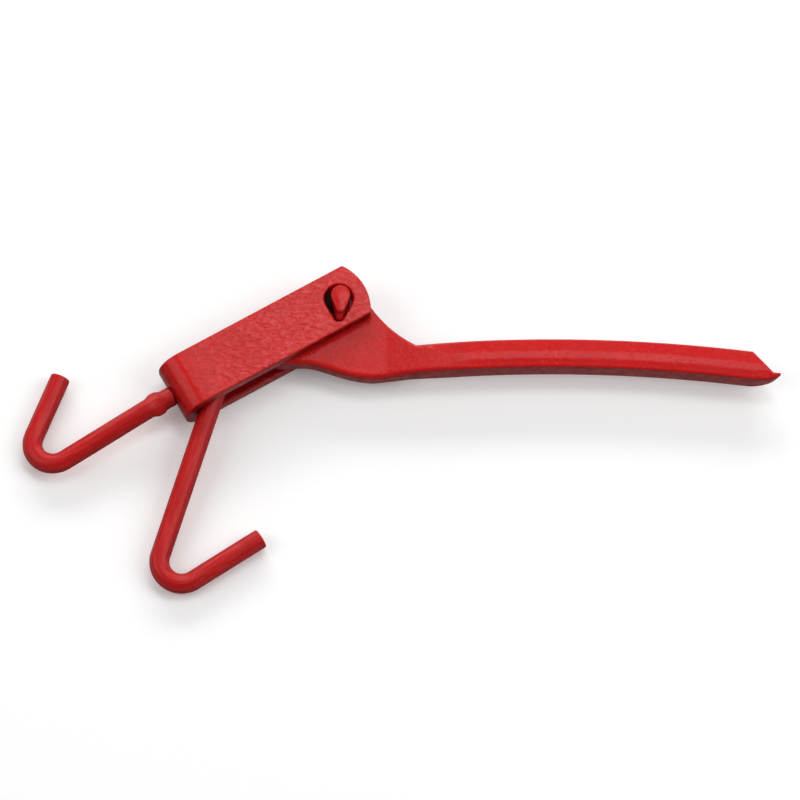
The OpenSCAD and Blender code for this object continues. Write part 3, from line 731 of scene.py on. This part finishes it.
def sweepTree():
    group = bpy.data.node_groups.new("rodSweep", "GeometryNodeTree")
    sockets = group.interface
    sockets.new_socket(name="Path", in_out="INPUT", socket_type="NodeSocketGeometry")
    for label, kind, value in (("Ring Points", "NodeSocketInt", 40), ("Rod Radius", "NodeSocketFloat", 5 * mm)):
        sockets.new_socket(name=label, in_out="INPUT", socket_type=kind).default_value = value
    sockets.new_socket(name="Paint", in_out="INPUT", socket_type="NodeSocketMaterial")
    sockets.new_socket(name="Rod", in_out="OUTPUT", socket_type="NodeSocketGeometry")
    tree = Tree(group)
    path = tree.add("NodeGroupInput")
    ringPoints, rodRadius, paint = path.also(1), path.also(2), path.also(3)

    def read(name, kind="FLOAT"):
        return tree.add("GeometryNodeInputNamedAttribute", {"data_type": kind}, {"Name": name})

    def scaled(vector, amount):
        return tree.add("ShaderNodeVectorMath", {"operation": "SCALE"}, {0: vector, 3: amount})

    def added(a, b):
        return tree.add("ShaderNodeVectorMath", {"operation": "ADD"}, {0: a, 1: b})

    def stored(shape, name, value):
        return tree.add("GeometryNodeStoreNamedAttribute", {"data_type": "FLOAT_VECTOR", "domain": "POINT"}, {
            "Geometry": shape, "Name": name, "Value": value})

    position = tree.add("GeometryNodeInputPosition")
    line = tree.add("GeometryNodeMeshToCurve", {}, {0: path})
    line = stored(line, "middleAt", position)
    circle = tree.add("GeometryNodeCurvePrimitiveCircle", {"mode": "RADIUS"}, {
        "Resolution": ringPoints, "Radius": 1.0})
    circle = stored(circle, "ringAt", position)
    rod = tree.add("GeometryNodeCurveToMesh", {}, {"Curve": line, "Profile Curve": circle, "Fill Caps": True})
    c = tree.add("ShaderNodeSeparateXYZ", {}, {0: read("ringAt", "FLOAT_VECTOR")})
    s = c.also(1)
    power = read("squareness")
    wide = c.math("SIGN") * abs(c) ** power * read("wide") + c * c * c * read("pinch")
    tall = s.math("SIGN") * abs(s) ** power * read("tall")
    sideways = scaled(read("across", "FLOAT_VECTOR"), wide * rodRadius)
    offset = added(sideways, scaled(read("up", "FLOAT_VECTOR"), tall * rodRadius))
    moved = added(read("middleAt", "FLOAT_VECTOR"), offset)
    rod = tree.add("GeometryNodeSetPosition", {}, {"Geometry": rod, "Position": moved})
    texturePlace = tree.add("ShaderNodeCombineXYZ", {}, {0: c * rodRadius, 1: s * rodRadius, 2: read("along")})
    rod = stored(rod, "rodPlace", texturePlace)
    rod = tree.add("GeometryNodeRealizeInstances", {}, {0: rod})
    rod = tree.add("GeometryNodeSetMaterial", {}, {"Geometry": rod, "Material": paint})
    tree.add("NodeGroupOutput", {}, {0: rod})
    return group


rodSweep = sweepTree()


def sweepRod(name, stops, settings):  # each stop: middle, wide, tall, pinch, squareness
    mesh = bpy.data.meshes.new(name)
    mesh.from_pydata([stop[0] * mm for stop in stops], [(i, i + 1) for i in range(len(stops) - 1)], [])
    r = settings["radius"]
    columns = {"wide": [s[1] / r for s in stops], "tall": [s[2] / r for s in stops],
               "pinch": [s[3] / r for s in stops], "squareness": [s[4] for s in stops]}
    across, upward, along, gone = [], [], [], 0.0
    for i, stop in enumerate(stops):
        tangent = (stops[min(i + 1, len(stops) - 1)][0] - stops[max(i - 1, 0)][0]).normalized()
        flat = Vector((0, 0, 1)).cross(tangent).normalized()
        across.extend(flat)
        upward.extend(tangent.cross(flat))
        along.append(gone * mm)
        if i + 1 < len(stops):
            gone += (stops[i + 1][0] - stop[0]).length
    columns["along"] = along
    for label, values in columns.items():
        mesh.attributes.new(label, "FLOAT", "POINT")
        mesh.attributes[label].data.foreach_set("value", values)
    for label, values in (("across", across), ("up", upward)):
        mesh.attributes.new(label, "FLOAT_VECTOR", "POINT")
        mesh.attributes[label].data.foreach_set("vector", values)
    piece = objectFrom(name, mesh)
    step = piece.modifiers.new("sweep", "NODES")
    step.node_group = rodSweep
    given = {"Ring Points": settings["ringPoints"], "Rod Radius": r * mm, "Paint": materials["rodPaint"]}
    for item in rodSweep.interface.items_tree:
        if item.in_out == "INPUT" and item.name in given:
            step[item.identifier] = given[item.name]
    piece.update_tag()
    bpy.context.view_layer.update()
    swept = bpy.data.meshes.new_from_object(piece.evaluated_get(bpy.context.evaluated_depsgraph_get()))
    piece.modifiers.clear()
    piece.data = swept
    for spare in ("middleAt", "ringAt", "across", "up", "wide", "tall", "pinch", "squareness", "along"):
        if spare in swept.attributes:
            swept.attributes.remove(swept.attributes[spare])
    work = bmesh.new()
    work.from_mesh(swept)
    bmesh.ops.recalc_face_normals(work, faces=work.faces)
    work.to_mesh(swept)
    work.free()
    return piece


rodSteps = {"shank": 5.0, "soft": 6, "leg": 6, "tip": (1.0, 0.6, 0.42, 0.25, 0.12, 0.04, 0.0)}


def jLine(origin, hook):  # the rod's middle line past the set
    heading = Matrix.Rotation(math.radians(hook["heading"]), 3, "Z")
    drop = Matrix.Rotation(math.asin(hook["drop"]), 3, "Y")
    turn = heading @ drop @ Matrix.Rotation(math.asin(hook["roll"]), 3, "X")
    r, side = hook["bendRadius"], hook["side"]
    flat = [Vector((x, 0, 0)) for x in span(0.0, hook["shank"], int(hook["shank"] / rodSteps["shank"]))]
    full = math.radians(hook["turn"])
    for i in range(hook["bendSteps"]):
        a = full * i / hook["bendSteps"]
        flat.append(Vector((hook["shank"] + r * math.sin(a), side * r * (1 - math.cos(a)), 0)))
    bendEnd = Vector((hook["shank"] + r * math.sin(full), side * r * (1 - math.cos(full)), 0))
    ahead = Vector((math.cos(full), side * math.sin(full), 0))
    last = [hook["tip"] - q for q in rodSteps["tip"]]
    flat += [bendEnd + ahead * q for q in span(0.0, last[0], rodSteps["leg"]) + last]
    return [origin + turn @ p for p in flat]


def softSet(line, at, reach):  # the corner at point number at becomes a short curve
    before, corner, after = line[at - 1], line[at], line[at + 1]
    start = corner + (before - corner).normalized() * reach
    end = corner + (after - corner).normalized() * reach
    curve = []
    for i in range(rodSteps["soft"] + 1):
        t = i / rodSteps["soft"]
        curve.append(start * (1 - t) ** 2 + corner * 2 * t * (1 - t) + end * t * t)
    return line[:at] + curve + line[at + 1:]


def tipRound(left, r, lip):  # rod radius at a distance from its sawn end
    if left >= lip:
        return r
    return r - lip + math.sqrt(max(0.0, lip * lip - (lip - left) ** 2))


# hooks: bent rod, swept along its middle line
firstHook = {
    "radius": 5.0, "ringPoints": 48, "bendRadius": 11.0, "bendSteps": 30, "side": -1,
    "shank": 48.9, "tip": 33.4, "turn": 143.5, "set": 109.9, "setSoft": 3.2, "lip": 0.6,
    "heading": 211.7, "drop": 0.0899603, "roll": 0.121574,
    "neck": 4.0, "upset": 5.2, "upsetLong": 6.4, "upsetTo": 88.3, "collar": 96.52,
    "ears": 105.6, "earOut": 1.25, "earLong": 3.0, "earFlat": 0.5,
}


def buildFirstHook():
    k = firstHook
    base = Vector((pivotAt.x, pivotAt.y, midZ))
    a, b = k["upsetTo"] - k["upsetLong"], k["upsetTo"]
    head, collar, r = k["upset"], k["collar"], k["radius"]
    profile = [(a, head - 1.2), (a + 0.1, head - 0.8), (a + 0.4, head - 0.35), (a + 1, head),
               (b - 1.9, head), (b - 1.3, head - 0.15), (b - 0.8, head - 0.4), (b - 0.4, head - 0.73),
               (b, head - 1.1), (b + 0.15, k["neck"]), (collar - 0.1, k["neck"]), (collar, r - 0.6),
               (collar + 0.15, r - 0.28), (collar + 0.5, r - 0.05), (collar + 0.9, r)]
    profile += [(collar + 1.6 + 0.55 * i, r) for i in range(15)]
    line = [base + yokeAxis * u for u, r in profile]
    radii = [r for u, r in profile]
    setAt = base + yokeAxis * k["set"]
    line = softSet(line + jLine(setAt, k), len(line), k["setSoft"])
    radii += [k["radius"]] * (len(line) - len(radii))
    stops = []
    for p, r in zip(line, radii):
        ear = math.exp(-(((p - base).dot(yokeAxis) - k["ears"]) / k["earLong"]) ** 4)
        r = tipRound((p - line[-1]).length, r, k["lip"])
        stops.append((p, r, r - k["earFlat"] * ear, k["earOut"] * ear, 1.0))
    piece = sweepRod("firstHookRod", stops, k)
    finishPiece(piece, "first_hook", "hook_a", materials["rodPaint"])


secondHook = {
    "radius": 4.985, "ringPoints": 48, "bendRadius": 11.0, "bendSteps": 30, "side": 1,
    "shank": 77.7, "tip": 39.8, "turn": 141.0, "set": 34.0, "setSoft": 3.2, "lip": 0.6,
    "heading": 252.261, "drop": 0.0680378, "roll": -0.0840197,
    "eye": 9.45, "eyeHalf": 1.88, "eyeBore": 4.08, "flatTo": 13.0, "roundFrom": 20.0,
    "neckFrom": 4.5, "neckLong": 10.0, "squareEye": 0.35, "squareFrom": 9, "squareLong": 11,
}


def buildSecondHook():
    k = secondHook
    base = Vector((rivetAt.x, rivetAt.y, midZ))
    heading = math.radians(k["heading"])
    ahead = Vector((math.cos(heading), math.sin(heading), 0))
    eyeTurns = [math.radians(q) for q in (2, 8, 15, 23, 32, 42, 53, 65, 78, 90)]
    runs = [-k["eye"] * math.cos(q) for q in eyeTurns]
    runs += [1.5, 3, 4.5, 6, 7.5, 9, 10.5, 12, 13, 14, 15, 16, 17, 18, 19, 20, 21.5, 24, 27, 29.5]
    stops = []
    for x in runs:
        disc = math.sqrt(max(0.0, k["eye"] ** 2 - x * x))
        wide = mix(disc, k["radius"], smooth((x - k["neckFrom"]) / k["neckLong"]))
        wide = max(wide, k["radius"]) if x > 0 else wide
        rise = smooth((x - k["flatTo"]) / (k["roundFrom"] - k["flatTo"]))
        tall = mix(k["eyeHalf"], k["radius"], rise)
        square = mix(k["squareEye"], 1.0, smooth((x - k["squareFrom"]) / k["squareLong"]))
        stops.append((base + ahead * x, wide, tall, 0.0, square))
    at = len(stops)
    line = softSet([s[0] for s in stops] + jLine(base + ahead * k["set"], k), at, k["setSoft"])
    for p in line[at:]:
        r = tipRound((p - line[-1]).length, k["radius"], k["lip"])
        stops.append((p, r, r, 0.0, 1.0))
    piece = sweepRod("secondHookRod", stops, k)
    bore = revolved("eyeCut", [(k["eyeBore"], z) for z in boreSpan], rivetAt)
    cut(piece, [objectFrom("eyeCut", bore)])
    finishPiece(piece, "second_hook", "hook_b", materials["rodPaint"])


# camera, floor, world and lamps
studio = {
    "elevation": 70.55, "lens": 300.0, "sensor": 36.0, "wide": 400.0, "aimX": -0.7, "aimY": 20.3,
    "worldLight": 0.24, "floorColour": (0.97, 0.97, 0.97, 1.0), "floorLift": 0.13,
    "floorHalf": 30.0, "floorUnder": 0.0003, "lampAimZ": 0.01,
}

lamps = {  # direction from the tool, distance, panel size, radiance
    "skyPanel": {"towards": (0.15, 0.33, 0.935), "far": 2.1, "size": (1.05, 0.58), "glow": 3.8},
    "farPanel": {"towards": (-0.06, 0.89, 0.44), "far": 2.5, "size": (2.9, 0.62), "glow": 6.4},
    "leftPanel": {"towards": (-0.72, 0.0, 0.70), "far": 2.2, "size": (1.3, 1.55), "glow": 1.7},
    "rightPanel": {"towards": (0.72, 0.0, 0.70), "far": 2.2, "size": (1.3, 1.55), "glow": 2.6},
}


def buildStudio():
    reach = studio["wide"] / 2 * studio["lens"] / (studio["sensor"] / 2) * mm
    rise = math.radians(studio["elevation"])
    target = Vector((studio["aimX"], studio["aimY"], 0)) * mm
    back = Vector((0, -math.cos(rise), math.sin(rise)))
    data = bpy.data.cameras.new("camera")
    data.lens, data.sensor_width = studio["lens"], studio["sensor"]
    data.clip_start, data.clip_end = 0.05, 50.0
    camera = bpy.data.objects.new("camera", data)
    camera.location = target + back * reach
    camera.rotation_euler = (-back).to_track_quat("-Z", "Y").to_euler()
    scene.collection.objects.link(camera)
    scene.camera = camera

    middle = Vector((0, 0, studio["lampAimZ"]))
    for name, lamp in lamps.items():
        towards = Vector(lamp["towards"]).normalized()
        panel = bpy.data.lights.new(name, "AREA")
        panel.shape = "RECTANGLE"
        panel.size, panel.size_y = lamp["size"]
        panel.energy = lamp["glow"] * math.pi * panel.size * panel.size_y
        holder = bpy.data.objects.new(name, panel)
        holder.location = middle + towards * lamp["far"]
        holder.rotation_euler = (-towards).to_track_quat("-Z", "Y").to_euler()
        scene.collection.objects.link(holder)

    half, under = studio["floorHalf"], -studio["floorUnder"]
    floorMesh = bpy.data.meshes.new("floor")
    corners = [(-half, -half, under), (half, -half, under), (half, half, under), (-half, half, under)]
    floorMesh.from_pydata(corners, [], [(0, 1, 2, 3)])
    floor = objectFrom("floor", floorMesh)
    paper = bpy.data.materials.new("paper")
    paper.use_nodes = True
    paper.node_tree.nodes.clear()
    tree = Tree(paper.node_tree)
    ray = tree.add("ShaderNodeLightPath")  # the lift is seen, but it lights nothing
    seen = ray + ray.also("Is Glossy Ray") + ray.also("Is Transmission Ray")
    lift = blendColour(tree, seen, (0.0, 0.0, 0.0, 1.0), (1.0, 1.0, 1.0, 1.0))
    shade = tree.add("ShaderNodeBsdfPrincipled", {}, {
        "Base Color": studio["floorColour"], "Roughness": 0.9, "Specular IOR Level": 0.0,
        "Emission Color": lift, "Emission Strength": studio["floorLift"]})
    tree.add("ShaderNodeOutputMaterial", {}, {"Surface": shade})
    floorMesh.materials.append(paper)

    world = bpy.data.worlds.new("studio")
    world.use_nodes = True
    world.node_tree.nodes.clear()
    scene.world = world
    tree = Tree(world.node_tree)
    glow = tree.add("ShaderNodeBackground", {}, {
        "Color": (1.0, 1.0, 1.0, 1.0), "Strength": studio["worldLight"]})
    tree.add("ShaderNodeOutputWorld", {}, {"Surface": glow})
    scene.view_settings.view_transform = "Standard"


buildStudio()
print("studio ready")
buildYoke()
buildPin()
buildLever()
buildRivet()
buildFirstHook()
buildSecondHook()
bpy.context.view_layer.update()
